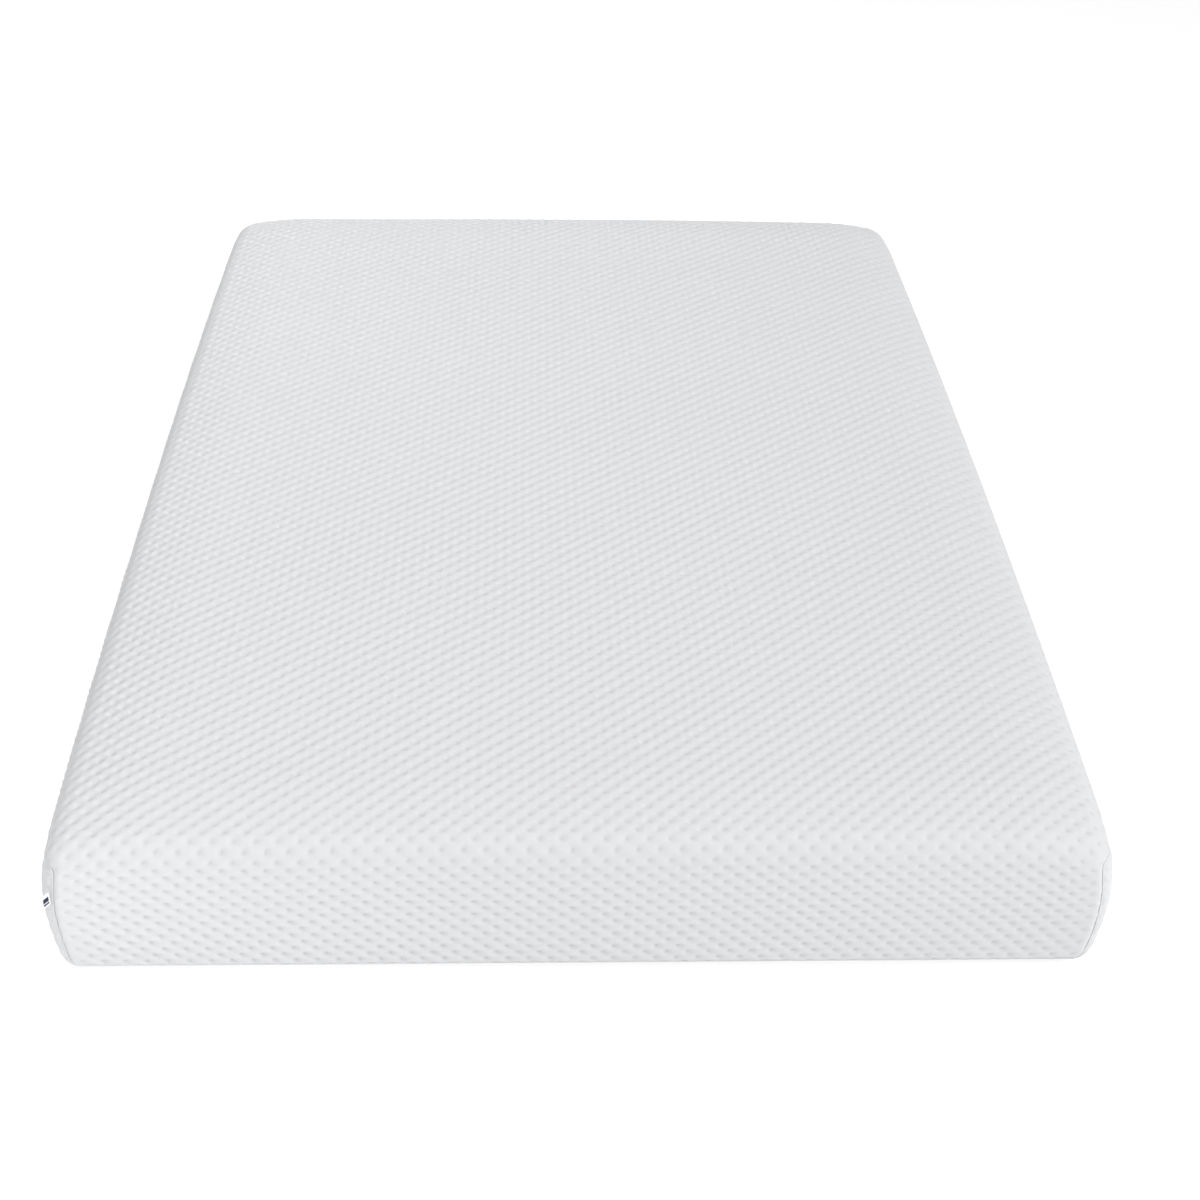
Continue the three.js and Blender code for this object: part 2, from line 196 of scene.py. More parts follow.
def block(half_x, half_y, profile, nx, ny, nc):
    """Rings round a rectangle with round corners, closed by two grids. profile is (radius, z) from one cap to the other.
    Gives the vertices' centre (x, y), direction, radius and z, and the faces."""
    gx, gy = np.linspace(-half_x, half_x, nx + 1), np.linspace(-half_y, half_y, ny + 1)
    ring, rim = [], []  # (centre x, centre y, plan angle), index in the grid
    gi = lambda i, j: i * (nx + 1) + j

    def corner(cx, cy, a0, idx):
        for k in range(nc + 1):
            ring.append((cx, cy, a0 + (pi / 2) * k / nc))
            rim.append(idx)

    for j in range(1, ny):
        ring.append((half_x, gy[j], 0.0))
        rim.append(gi(j, nx))
    corner(half_x, half_y, 0.0, gi(ny, nx))
    for i in range(nx - 1, 0, -1):
        ring.append((gx[i], half_y, pi / 2))
        rim.append(gi(ny, i))
    corner(-half_x, half_y, pi / 2, gi(ny, 0))
    for j in range(ny - 1, 0, -1):
        ring.append((-half_x, gy[j], pi))
        rim.append(gi(j, 0))
    corner(-half_x, -half_y, pi, gi(0, 0))
    for i in range(1, nx):
        ring.append((gx[i], -half_y, 1.5 * pi))
        rim.append(gi(0, i))
    corner(half_x, -half_y, 1.5 * pi, gi(0, nx))
    ring, rim = np.array(ring), np.array(rim)
    nr, ng = len(ring), (nx + 1) * (ny + 1)
    X, Y = np.meshgrid(gx, gy)
    cap = np.stack([X.ravel(), Y.ravel()], -1)
    cen, ang, rr, zz = [cap], [np.zeros(ng)], [np.zeros(ng)], [np.full(ng, profile[0][1])]
    for r, z in profile[1:-1]:
        cen.append(ring[:, :2])
        ang.append(ring[:, 2])
        rr.append(np.full(nr, r))
        zz.append(np.full(nr, z))
    cen.append(cap)
    ang.append(np.zeros(ng))
    rr.append(np.zeros(ng))
    zz.append(np.full(ng, profile[-1][1]))
    m = len(profile) - 2
    last = ng + m * nr
    four, three = [quads(ny, nx)[:, ::-1], quads(ny, nx, last)], []
    a, b = np.arange(nr), (np.arange(nr) + 1) % nr
    for k in range(m - 1):
        p = ng + k * nr
        four.append(np.stack([p + a, p + b, p + nr + b, p + nr + a], -1))
    flat = rim[a] != rim[b]
    four.append(np.stack([rim[a], rim[b], ng + b, ng + a], -1)[flat])
    three.append(np.stack([rim[a], ng + b, ng + a], -1)[~flat])
    p = ng + (m - 1) * nr
    four.append(np.stack([p + a, p + b, last + rim[b], last + rim[a]], -1)[flat])
    three.append(np.stack([p + a, p + b, last + rim[a]], -1)[~flat])
    return np.concatenate(cen), np.concatenate(ang), np.concatenate(rr), np.concatenate(zz), [np.concatenate(four), np.concatenate(three)]


def sweep(path, normal, section, closed=False):
    """A tube whose section is a list of (along normal, across) offsets for each point of the path."""
    path, normal = np.asarray(path, float), np.asarray(normal, float)
    if closed:
        tan = np.roll(path, -1, 0) - np.roll(path, 1, 0)
    else:
        tan = np.gradient(path, axis=0)
    tan /= np.linalg.norm(tan, axis=1)[:, None]
    normal = normal - (normal * tan).sum(1)[:, None] * tan
    normal /= np.linalg.norm(normal, axis=1)[:, None]
    across = np.cross(tan, normal)
    pts = path[:, None] + normal[:, None] * section[..., 0:1] + across[:, None] * section[..., 1:2]
    n, m = pts.shape[:2]
    i = np.arange(n if closed else n - 1)
    j = np.arange(m)
    I, J = np.meshgrid(i, j, indexing="ij")
    a, b = I * m + J, I * m + (J + 1) % m
    c, d = ((I + 1) % n) * m + (J + 1) % m, ((I + 1) % n) * m + J
    faces = [np.stack([a, d, c, b], -1).reshape(-1, 4)]
    if not closed:
        faces.append(np.arange(m)[None])
        faces.append(((n - 1) * m + np.arange(m))[::-1][None])
    return pts.reshape(-1, 3), faces


def merge(parts):
    """Several (vertices, faces) as one."""
    verts, faces, base = [], [], 0
    for v, f in parts:
        verts.append(v)
        faces += [np.asarray(x) + base for x in f]
        base += len(v)
    return np.concatenate(verts), faces


def face_groups(faces):
    """Face arrays joined by their number of corners."""
    by = {}
    for f in faces:
        by.setdefault(f.shape[1], []).append(f)
    return [np.concatenate(v) for v in by.values()]


# ---------------------------------------------------------------- places on the cover
def border(w, q, mirror, off=0.0):
    """A point and direction on the border: w along the side from its middle, round the corners, q up from the bottom rounding."""
    w, q, off = np.broadcast_arrays(np.asarray(w, float), np.asarray(q, float), np.asarray(off, float))
    cy = np.clip(w, -LY, LY)
    ga = (w - cy) / RAD
    cz = RAD + np.clip(q, 0, LZ)
    ep = (q - np.clip(q, 0, LZ)) / RAD
    n = np.stack([np.cos(ep) * np.cos(ga), np.cos(ep) * np.sin(ga), np.sin(ep)], -1)
    p = np.stack([np.full(w.shape, LX), cy, cz], -1) + n * (RAD + off)[..., None]
    if mirror:
        p[..., 0] *= -1
        n[..., 0] *= -1
    return p, n


def seam_line(step=0.0007):
    """(w, q) along a side's seam: up the foot corner, along the top edge, down the head corner."""
    pts = []
    up = np.arange(Q_BOT, Q_TOP - SEAM_TURN, step)
    pts += [(-W_END, q) for q in up]
    arc = np.linspace(0, pi / 2, int(SEAM_TURN * pi / 2 / step) + 2)
    pts += [(-W_END + SEAM_TURN * (1 - math.cos(a)), Q_TOP - SEAM_TURN + SEAM_TURN * math.sin(a)) for a in arc]
    run = np.arange(-W_END + SEAM_TURN + step, 0, step)
    pts += [(w, Q_TOP) for w in run]
    pts = np.array(pts)
    other = pts[::-1].copy()
    other[:, 0] *= -1
    return np.concatenate([pts, other[1:]])


SEAM_WQ = seam_line()

# where that seam runs, as the tube of the top panel sees it: half angle against the distance along the panel
_half = SEAM_WQ[SEAM_WQ[:, 0] <= 0]
_p, _n = border(_half[:, 0], _half[:, 1], False)
_alpha = np.arcsin(np.clip(_n[:, 0], -1, 1))
_phi = np.arctan2(_n[:, 2], -_n[:, 1])
_flat_side = np.abs(_half[:, 0]) < LY - 1e-9
_alpha = np.where(_flat_side, np.arctan2(_n[:, 0], _n[:, 2]), _alpha)
_phi = np.where(_flat_side, pi / 2, _phi)
_t = RAD * np.minimum(_phi, 0) + np.clip(_half[:, 1], 0, LZ) + RAD * np.maximum(_phi, 0)
_t = _t + np.where(_flat_side, _half[:, 0] + LY, 0)
_order = np.argsort(_t)
SEAM_T, SEAM_A = _t[_order], _alpha[_order]


# ---------------------------------------------------------------- materials
class Nodes:
    """Short calls for a material's nodes."""

    def __init__(self, name):
        self.mat = bpy.data.materials.new(name)
        self.mat.use_nodes = True
        self.t = self.mat.node_tree
        self.t.nodes.clear()
        self.out = self.t.nodes.new("ShaderNodeOutputMaterial")
        self.b = self.t.nodes.new("ShaderNodeBsdfPrincipled")
        self.t.links.new(self.b.outputs[0], self.out.inputs[0])

    def node(self, kind, **kw):
        n = self.t.nodes.new(kind)
        for k, v in kw.items():
            setattr(n, k, v)
        return n

    def put(self, socket, value):
        if isinstance(value, bpy.types.NodeSocket):
            self.t.links.new(value, socket)
        else:
            socket.default_value = value

    def math(self, op, a, b=0.0, c=0.0, clamp=False):
        n = self.node("ShaderNodeMath", operation=op, use_clamp=clamp)
        self.put(n.inputs[0], a)
        self.put(n.inputs[1], b)
        if op in ("MULTIPLY_ADD", "COMPARE", "SMOOTH_MIN", "SMOOTH_MAX", "WRAP"):
            self.put(n.inputs[2], c)
        return n.outputs[0]

    def st(self):
        """The cloth's own coordinates in metres, and the third channel."""
        a = self.node("ShaderNodeAttribute", attribute_name="st")
        s = self.node("ShaderNodeSeparateXYZ")
        self.t.links.new(a.outputs["Vector"], s.inputs[0])
        return a.outputs["Vector"], s.outputs[0], s.outputs[1], s.outputs[2]

    def obj(self):
        return self.node("ShaderNodeTexCoord").outputs["Object"]

    def noise(self, vec, scale, detail=3.0, rough=0.55):
        n = self.node("ShaderNodeTexNoise")
        self.t.links.new(vec, n.inputs["Vector"])
        n.inputs["Scale"].default_value = scale
        n.inputs["Detail"].default_value = detail
        n.inputs["Roughness"].default_value = rough
        return n.outputs["Fac"]

    def remap(self, v, a, b, c, d, smooth_step=False):
        n = self.node("ShaderNodeMapRange")
        if smooth_step:
            n.interpolation_type = "SMOOTHSTEP"
        self.put(n.inputs[0], v)
        for k, x in zip((1, 2, 3, 4), (a, b, c, d)):
            n.inputs[k].default_value = x
        return n.outputs[0]

    def mix(self, fac, a, b):
        n = self.node("ShaderNodeMix", data_type="RGBA")
        self.put(n.inputs[0], fac)
        for k, x in ((6, a), (7, b)):
            if isinstance(x, bpy.types.NodeSocket):
                self.t.links.new(x, n.inputs[k])
            else:
                n.inputs[k].default_value = (*x, 1)
        return n.outputs[2]

    def bump(self, height, strength, distance, under=None):
        n = self.node("ShaderNodeBump")
        n.inputs["Strength"].default_value = strength
        n.inputs["Distance"].default_value = distance
        self.t.links.new(height, n.inputs["Height"])
        if under is not None:
            self.t.links.new(under, n.inputs["Normal"])
        return n.outputs[0]

    def finish(self, color, rough, normal=None, metal=0.0, spec=0.25, sheen=0.0, coat=0.0):
        self.put(self.b.inputs["Base Color"], color)
        self.put(self.b.inputs["Roughness"], rough)
        self.b.inputs["Metallic"].default_value = metal
        self.b.inputs["Specular IOR Level"].default_value = spec
        self.b.inputs["Sheen Weight"].default_value = sheen
        self.b.inputs["Sheen Roughness"].default_value = 0.5
        self.b.inputs["Coat Weight"].default_value = coat
        if normal is not None:
            self.t.links.new(normal, self.b.inputs["Normal"])
        return self.mat


def stitches(m, s, t, wale, course):
    """Height of a plain knit's stitches: V shapes in columns."""
    x = m.math("PINGPONG", m.math("DIVIDE", s, wale), 0.5)  # 0 to 0.5 and back
    y = m.math("MULTIPLY_ADD", x, 0.9, m.math("DIVIDE", t, course))
    v = m.math("SINE", m.math("MULTIPLY", y, 2 * pi))
    ridge = m.math("SINE", m.math("MULTIPLY", x, 2 * pi))
    return m.math("MULTIPLY_ADD", v, 0.5, ridge)


def knit_material(name, tint=(0.705, 0.710, 0.722)):
    m = Nodes(name)
    vec, s, t, h = m.st()
    lo = tuple(c * 0.84 for c in tint)
    hi = tint
    cloudy = m.noise(vec, 2.2, 3)
    fine = m.noise(vec, 900, 2)
    painted_pit_shade = m.remap(h, -0.9, 0.7, 0.0, 1.0, True)  # tie points painted darker: painted shade in the knit's pits
    mixed = m.math("MULTIPLY_ADD", fine, 0.20, m.math("MULTIPLY_ADD", cloudy, 0.22, m.math("MULTIPLY", painted_pit_shade, 0.68)), clamp=True)
    colour = m.mix(mixed, lo, hi)
    knitted = stitches(m, s, t, 0.00150, 0.00110)
    fuzz = m.noise(vec, 2600, 2)
    n1 = m.bump(knitted, 0.22, 0.00016)
    n2 = m.bump(fuzz, 0.16, 0.00020, n1)
    rough = m.remap(m.noise(vec, 420, 2), 0.3, 0.7, 0.82, 0.96)
    return m.finish(colour, rough, n2, spec=0.18, sheen=0.10)


def woven_material(name, tint, pitch=0.0009, ribs=0.5, spec=0.2, sheen=0.05, rough_range=(0.75, 0.92)):
    m = Nodes(name)
    vec, s, t, h = m.st()
    a = m.math("SINE", m.math("MULTIPLY", s, 2 * pi / pitch))
    b = m.math("SINE", m.math("MULTIPLY", t, 2 * pi / pitch))
    weave = m.math("MULTIPLY", a, b)
    weave = m.math("MULTIPLY_ADD", a, ribs, weave)
    slub = m.noise(vec, 380, 3)
    cloud = m.noise(vec, 5, 3)
    f = m.math("MULTIPLY_ADD", weave, 0.12, m.math("MULTIPLY_ADD", slub, 0.5, m.math("MULTIPLY", cloud, 0.45)), clamp=True)
    colour = m.mix(f, tuple(c * 0.86 for c in tint), tint)
    n = m.bump(slub, 0.12, 0.0002, m.bump(weave, 0.30, 0.00012))
    rough = m.remap(slub, 0.3, 0.7, *rough_range)
    return m.finish(colour, rough, n, spec=spec, sheen=sheen)


def foam_material(name, tint, cell):
    """Open-cell foam: small cells with thin walls and some larger pores."""
    m = Nodes(name)
    vec = m.obj()
    v = m.node("ShaderNodeTexVoronoi", feature="F1")
    m.t.links.new(vec, v.inputs["Vector"])
    v.inputs["Scale"].default_value = 1.0 / cell
    w = m.node("ShaderNodeTexVoronoi", feature="F1")
    m.t.links.new(vec, w.inputs["Vector"])
    w.inputs["Scale"].default_value = 0.22 / cell
    pore = m.remap(w.outputs["Distance"], 0.05, 0.30, 0.0, 1.0, True)
    cells = v.outputs["Distance"]
    cloud = m.noise(vec, 7, 4)
    # cell hollows and pores are painted darker: painted shade; the cloud is random tone
    f = m.math("MULTIPLY", m.math("MULTIPLY_ADD", cloud, 0.5, m.math("MULTIPLY", cells, 0.7)), m.math("MULTIPLY_ADD", pore, 0.35, 0.65), clamp=True)
    colour = m.mix(f, tuple(c * 0.80 for c in tint), tint)
    n = m.bump(pore, 0.4, 0.0006, m.bump(cells, 0.5, 0.0004))
    return m.finish(colour, m.remap(cloud, 0.3, 0.7, 0.88, 0.98), n, spec=0.12, sheen=0.08)


def thread_material(name, tint):
    m = Nodes(name)
    vec, s, t, h = m.st()
    twist = m.math("SINE", m.math("MULTIPLY", m.math("MULTIPLY_ADD", t, 0.8, s), 2 * pi / 0.0009))
    fluff = m.noise(vec, 1200, 3)
    # the pinch of each stitch and the twist's grooves are painted darker: painted shade in the thread's hollows; the
    # fluff is random tone
    pinch_shade = m.remap(h, -1, 1, 0.0, 1.0)
    f = m.math("MULTIPLY_ADD", fluff, 0.35, m.math("MULTIPLY_ADD", twist, 0.08, m.math("MULTIPLY", pinch_shade, 0.6)), clamp=True)
    colour = m.mix(f, tuple(c * 0.78 for c in tint), tint)
    n = m.bump(fluff, 0.2, 0.0002, m.bump(twist, 0.35, 0.0001))
    return m.finish(colour, m.remap(fluff, 0.3, 0.7, 0.7, 0.9), n, spec=0.25, sheen=0.10)


def nylon_material(name, tint):
    m = Nodes(name)
    vec = m.obj()
    cloud = m.noise(vec, 260, 3)
    scuff = m.noise(vec, 1500, 3)
    colour = m.mix(cloud, tuple(c * 0.9 for c in tint), tint)
    n = m.bump(scuff, 0.06, 0.00008)
    return m.finish(colour, m.remap(scuff, 0.3, 0.7, 0.28, 0.46), n, spec=0.5, coat=0.1)


def metal_material(name):
    m = Nodes(name)
    vec = m.obj()
    cloud = m.noise(vec, 120, 4)
    stretch = m.node("ShaderNodeVectorMath", operation="MULTIPLY")
    m.t.links.new(vec, stretch.inputs[0])
    stretch.inputs[1].default_value = (9.0, 1.0, 9.0)
    brush = m.noise(stretch.outputs[0], 700, 3)
    worn = m.remap(cloud, 0.45, 0.75, 0.0, 1.0, True)
    colour = m.mix(worn, (0.62, 0.63, 0.64), (0.50, 0.49, 0.47))
    rough = m.math("MULTIPLY_ADD", brush, 0.18, m.math("MULTIPLY_ADD", worn, 0.12, 0.14))
    return m.finish(colour, rough, m.bump(brush, 0.10, 0.00006), metal=1.0, spec=0.5)


def label_material(name, motif):
    """Woven satin ribbon; st.x runs out from the seam, st.y up, st.z is 1 on the printed face."""
    m = Nodes(name)
    vec, s, t, face = m.st()
    warp = m.math("SINE", m.math("MULTIPLY", t, 2 * pi / 0.00045))
    weft = m.math("SINE", m.math("MULTIPLY", s, 2 * pi / 0.0006))
    slub = m.noise(vec, 900, 2)
    f = m.math("MULTIPLY_ADD", slub, 0.6, m.math("MULTIPLY", m.math("ADD", warp, 1), 0.2), clamp=True)
    white = m.mix(f, (0.76, 0.76, 0.765), (0.90, 0.90, 0.905))
    n = m.bump(m.math("MULTIPLY_ADD", warp, 0.6, weft), 0.28, 0.00008)
    colour = white
    if motif:
        ink = None
        for s0, s1, t0, t1, slant in motif:
            tt = m.math("MULTIPLY_ADD", s, slant, t)
            a = m.math("MULTIPLY", m.math("GREATER_THAN", s, s0), m.math("LESS_THAN", s, s1))
            b = m.math("MULTIPLY", m.math("GREATER_THAN", tt, t0), m.math("LESS_THAN", tt, t1))
            one = m.math("MULTIPLY", a, b)
            ink = one if ink is None else m.math("MAXIMUM", ink, one)
        ink = m.math("MULTIPLY", ink, m.math("GREATER_THAN", face, 0.5))
        ink = m.math("MULTIPLY", ink, m.remap(slub, 0.2, 0.5, 0.93, 1.0))
        colour = m.mix(ink, white, (0.012, 0.018, 0.05))
    return m.finish(colour, m.remap(slub, 0.3, 0.7, 0.5, 0.68), n, spec=0.3, sheen=0.05)


MAT = {
    "knit": knit_material("bubble_knit"),
    "base_cloth": woven_material("base_cloth", (0.70, 0.70, 0.71), 0.0011),
    "seam": thread_material("overlock", (0.84, 0.84, 0.85)),
    "sleeve": woven_material("stockinette", (0.78, 0.78, 0.75), 0.0014, ribs=0.9),
    "memory_foam": foam_material("memory_foam", (0.88, 0.82, 0.68), 0.0011),
    "transition_foam": foam_material("transition_foam", (0.60, 0.74, 0.82), 0.0014),
    "support_foam": foam_material("support_foam", (0.84, 0.82, 0.74), 0.0018),
    "zip_tape": woven_material("zip_tape", (0.84, 0.84, 0.85), 0.0008, ribs=0.8),
    "zip_coil": nylon_material("nylon_coil", (0.80, 0.80, 0.80)),
    "zip_metal": metal_material("nickel"),
    "label": label_material(
        "label_ribbon",
        [
            (0.0025, 0.0115, 0.0068, 0.0142, 0.0),
            (0.0025, 0.0115, 0.0026, 0.0054, 0.0),
        ],
    ),
    "care_label": label_material("care_ribbon", None),
}


def dress(ob, slot, body="mattress", replaces=()):
    ob.data.materials.clear()
    ob.data.materials.append(MAT[slot])
    if body:
        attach(ob, body)
    if replaces:
        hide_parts(*replaces)
    return ob


# ---------------------------------------------------------------- the top panel
def top_panel():
    nb, nf, nr, nt = 5, 57, 14, 616
    g = []  # (section, fraction)
    g += [("b", 1 - k / nb) for k in range(nb)]
    g += [("f", k / nf) for k in range(nf)]
    g += [("r", k / nr) for k in range(nr)]
    rows = g + [("t", k / nt) for k in range(nt + 1)]
    back = g[::-1]
    m_cols, m_arc = 380, 10
    fx = np.concatenate([np.zeros(m_arc), np.linspace(-1, 1, m_cols + 1), np.zeros(m_arc)])
    fx[:m_arc], fx[-m_arc:] = -1, 1
    fa = np.concatenate([-np.linspace(1, 1 / m_arc, m_arc), np.zeros(m_cols + 1), np.linspace(1 / m_arc, 1, m_arc)])
    everything = [(-1, *r) for r in rows] + [(1, *r) for r in back]
    P, N, S, T, D = [], [], [], [], []
    t_mid = LZ + RAD * pi / 2 + LY
    for sign, kind, f in everything:
        if kind == "b":
            t0 = -RAD * SEAM_DOWN * f
            cy, cz = LY, RAD
        elif kind == "f":
            t0, cy, cz = LZ * f, LY, RAD + LZ * f
        elif kind == "r":
            t0, cy, cz = LZ + RAD * pi / 2 * f, LY, RAD + LZ
        else:
            t0 = LZ + RAD * pi / 2 + 2 * LY * f
            cy, cz = LY - 2 * LY * f, RAD + LZ
        if kind == "t" and f > 0.5:
            a_max = np.interp(2 * t_mid - t0, SEAM_T, SEAM_A)
        else:
            a_max = np.interp(t0, SEAM_T, SEAM_A)
        al = fa * a_max
        if kind == "b":
            phi = -f * np.arcsin(np.clip(math.sin(SEAM_DOWN) / np.cos(al), -1, 1))
        elif kind == "f":
            phi = np.zeros_like(al)
        elif kind == "r":
            phi = np.full_like(al, pi / 2 * f)
        else:
            phi = np.full_like(al, pi / 2)
        n = np.stack([np.sin(al), sign * np.cos(al) * np.cos(phi) * np.ones_like(al), np.cos(al) * np.sin(phi)], -1)
        if kind == "t":
            n[:, 1] = 0
        c = np.stack([fx * LX, np.full_like(al, sign * cy), np.full_like(al, cz)], -1)
        if kind == "t":
            c[:, 1] = -cy
        P.append(c)
        N.append(n)
        S.append(fx * LX + RAD * al)
        tt = RAD * np.where(kind == "b", phi, 0) + (t0 if kind != "b" else 0)
        T.append(tt if sign < 0 else 2 * t_mid - tt)
        lateral = RAD * (a_max - np.abs(al)) + np.maximum(LX - np.abs(fx * LX), 0)
        bottom = (t0 + RAD * SEAM_DOWN) * np.ones_like(al)
        if kind == "t":
            bottom = np.full_like(al, 1.0)
        D.append(np.stack([lateral, bottom], -1))
    C, N = np.array(P), np.array(N)
    S, T, D = np.array(S), np.array(T), np.array(D)
    lat, bot = D[..., 0], D[..., 1]
    near = np.minimum(lat, bot)
    relief, pit_shade_mark = knit(S, T, 11)
    keep = smooth(0.0005, 0.0085, near)
    slack = 0.82 + 0.36 * smooth(0.2, 0.95, N[..., 2])  # the knit is stretched flatter on the upright ends
    slack = slack * (1.0 - 0.20 * S / LX)  # and towards the zip's side
    h = RELIEF * relief * keep * slack * (0.35 + 0.65 * smooth(0.0, 0.050, lat))
    h = h - np.where(fx < 0, 0.0030, 0.0019) * np.exp(-((lat / 0.0032) ** 2)) - 0.0014 * np.exp(-((bot / 0.0040) ** 2))
    pucker = waves(T * 40, S * 6, 5, n=5, low=0.9, high=2.1)
    h = h + 0.00070 * pucker * np.exp(-(((lat - 0.004) / 0.008) ** 2))
    h = h + 0.00040 * waves(S * 40, T * 5, 6, n=5, low=0.9, high=2.1) * np.exp(-(((bot - 0.004) / 0.008) ** 2))
    h = h + 0.0008 * waves(S, T, 21, n=9, low=1.2, high=4.5) * smooth(0, 0.05, near)
    outer = deform(C + N * (RAD + h)[..., None])
    inner = deform((C + N * (RAD - COVER - 0.0010))[::8, ::8])
    # the third channel is the mask of the painted shade in the tie points
    st = np.stack([S, T, pit_shade_mark * keep + (1 - keep)], -1)
    return shell("top_panel_knit", outer, inner, st)


def border_panel(name, mirror, seed, low=None, high=None, rows=64, cols=576):
    """A border panel between two heights. low and high are functions of w for an edge along the zip, or None for a seam."""
    v = np.linspace(0, 1, rows + 1)[:, None]
    u = np.linspace(-1, 1, cols + 1)[None]
    wq0 = u * W_END
    q_lo = Q_BOT if low is None else low(wq0)
    q_hi = Q_TOP if high is None else high(wq0)
    q = q_lo + (q_hi - q_lo) * v + 0 * u
    turn = np.zeros_like(q) if high is not None else np.clip(q - (Q_TOP - SEAM_TURN), 0, SEAM_TURN)
    inset = SEAM_TURN - np.sqrt(np.maximum(SEAM_TURN**2 - turn**2, 0))
    w = u * (W_END - inset)
    seam = [W_END - inset - np.abs(w)]
    if low is None:
        seam.append(q - Q_BOT)
    if high is None:
        seam.append(Q_TOP - q)
    near = np.maximum(np.minimum.reduce([x + 0 * q for x in seam]), 0)
    hem = np.full_like(q, 1.0)
    if low is not None:
        hem = np.minimum(hem, q - q_lo)
    if high is not None:
        hem = np.minimum(hem, q_hi - q)
    relief, pit_shade_mark = knit(w, q, seed)
    keep = smooth(0.0005, 0.0085, near) * smooth(0.006, 0.014, hem)
    h = 0.75 * RELIEF * relief * keep * (0.4 + 0.6 * smooth(0.0, 0.050, near)) - (0.0030 if mirror else 0.0019) * np.exp(-((near / 0.0032) ** 2))
    h = h + 0.00095 * waves(w * 40, q * 40, seed + 3, n=5, low=0.9, high=2.1) * np.exp(-(((near - 0.004) / 0.008) ** 2))
    h = h + 0.0006 * waves(w, q, seed + 4, n=7, low=1.2, high=4.5) * smooth(0, 0.03, near) * smooth(0, 0.03, hem)
    # hem along the zip: rolled edge and a row of topstitching
    h = h - 0.0016 * np.exp(-((hem / 0.0011) ** 2)) - 0.0007 * np.exp(-(((hem - 0.007) / 0.0012) ** 2))
    h = h + 0.00018 * np.cos(2 * pi * w / 0.0042) * np.exp(-(((hem - 0.007) / 0.0030) ** 2))
    p, n = border(w, q, mirror, h)
    pi_, _ = border(w[::8, ::8], q[::8, ::8], mirror, -COVER)
    # the third channel is the mask of the painted shade in the tie points
    st = np.stack([w, q, pit_shade_mark * keep + (1 - keep)], -1)
    return shell(name, deform(p), deform(pi_), st)


top = dress(top_panel(), "knit", replaces=["top_panel"])
left = dress(border_panel("side_panel_left_knit", True, 31), "knit", replaces=["side_panel_left"])


def slot_edge(sign):
    """Height of the border's edge along the zip: at the slot's side, and at the join beyond the slot's ends."""

    def edge(w):
        y = np.abs(w * (1 + MID * 0.8 / HY) + SHIFT_Y)
        half = 0.0004 + (ZIP_GAP - 0.0004) * (1 - smooth(ZIP_HALF - 0.0068, ZIP_HALF - 0.0020, y))
        return ZIP_Z + sign * half - RAD

    return edge


right = dress(
    border_panel("side_panel_right_knit", False, 41, low=slot_edge(1), rows=48), "knit", replaces=["side_panel_right"]
)
strip = dress(
    border_panel("side_strip_right_knit", False, 51, high=slot_edge(-1), rows=16), "knit", replaces=["side_strip_right"]
)


# ---------------------------------------------------------------- base panel
def base_panel():
    arc = np.linspace(pi / 2, SEAM_DOWN, 9)
    profile = [(0.0, 0.0)]
    profile += [(RAD * math.cos(a), RAD - RAD * math.sin(a)) for a in arc[1:]]
    r_in = RAD - COVER
    profile += [(r_in * math.cos(a), RAD - r_in * math.sin(a)) for a in arc[::-1][:-1]]
    profile += [(0.0, COVER)]
    cen, ang, rr, zz, faces = block(LX, LY, profile, 70, 96, 8)
    p = np.stack([cen[:, 0] + rr * np.cos(ang), cen[:, 1] + rr * np.sin(ang), zz], -1)
    p[:, 2] += np.where(zz < 0.004, 0.00035 * (1 + waves(p[:, 0], p[:, 1], 77, n=9, low=2, high=7)), 0) * (rr < 0.02)
    p[:, 2] = np.maximum(p[:, 2], 0.0)
    st = np.stack([p[:, 0], p[:, 1], np.zeros(len(p))], -1)
    return mesh_of("base_panel_cloth", deform(p), faces, st, sharp=60)


base = dress(base_panel(), "base_cloth", replaces=["base_panel"])


# ---------------------------------------------------------------- seams
def section(length, sides, half_n, half_a, pitch, depth):
    """An overlocked ridge's section along its length: thread wrapped round it, with the pinch of each stitch."""
    th = np.linspace(0, 2 * pi, sides, endpoint=False)[None]
    ln = length[:, None]
    wrap = np.cos(2 * pi * ln / pitch - th)
    slow = 0.08 * waves(ln * 30, th * 0, 9, n=5, low=0.8, high=2.2)
    k = 1 + depth * wrap + slow
    return np.stack([half_n * k * np.cos(th), half_a * k * np.sin(th)], -1), wrap, th


def seam_ridge(name, mirror):
    w, q = SEAM_WQ[:, 0], SEAM_WQ[:, 1]
    p, n = border(w, q, mirror, -0.0020 if mirror else -0.0014)
    wander = 0.0004 * waves(np.arange(len(w)) * 0.0007 * 30, 0 * w, 13, n=5, low=0.5, high=1.6)
    path = deform(p)
    length = np.concatenate([[0], np.cumsum(np.linalg.norm(np.diff(path, axis=0), axis=1))])
    sec, wrap, th = section(length, 12, 0.00150, 0.0012, 0.0030, 0.12)
    sec[..., 1] += wander[:, None]
    v, f = sweep(path, n, sec)
    # the third channel drives the painted shade in each stitch's pinch
    st = np.stack([np.repeat(length, 12), np.tile(th[0] * 0.0015, len(w)), np.clip(wrap, -1, 1).ravel()], -1)
    return mesh_of(name, v, face_groups(f), st)


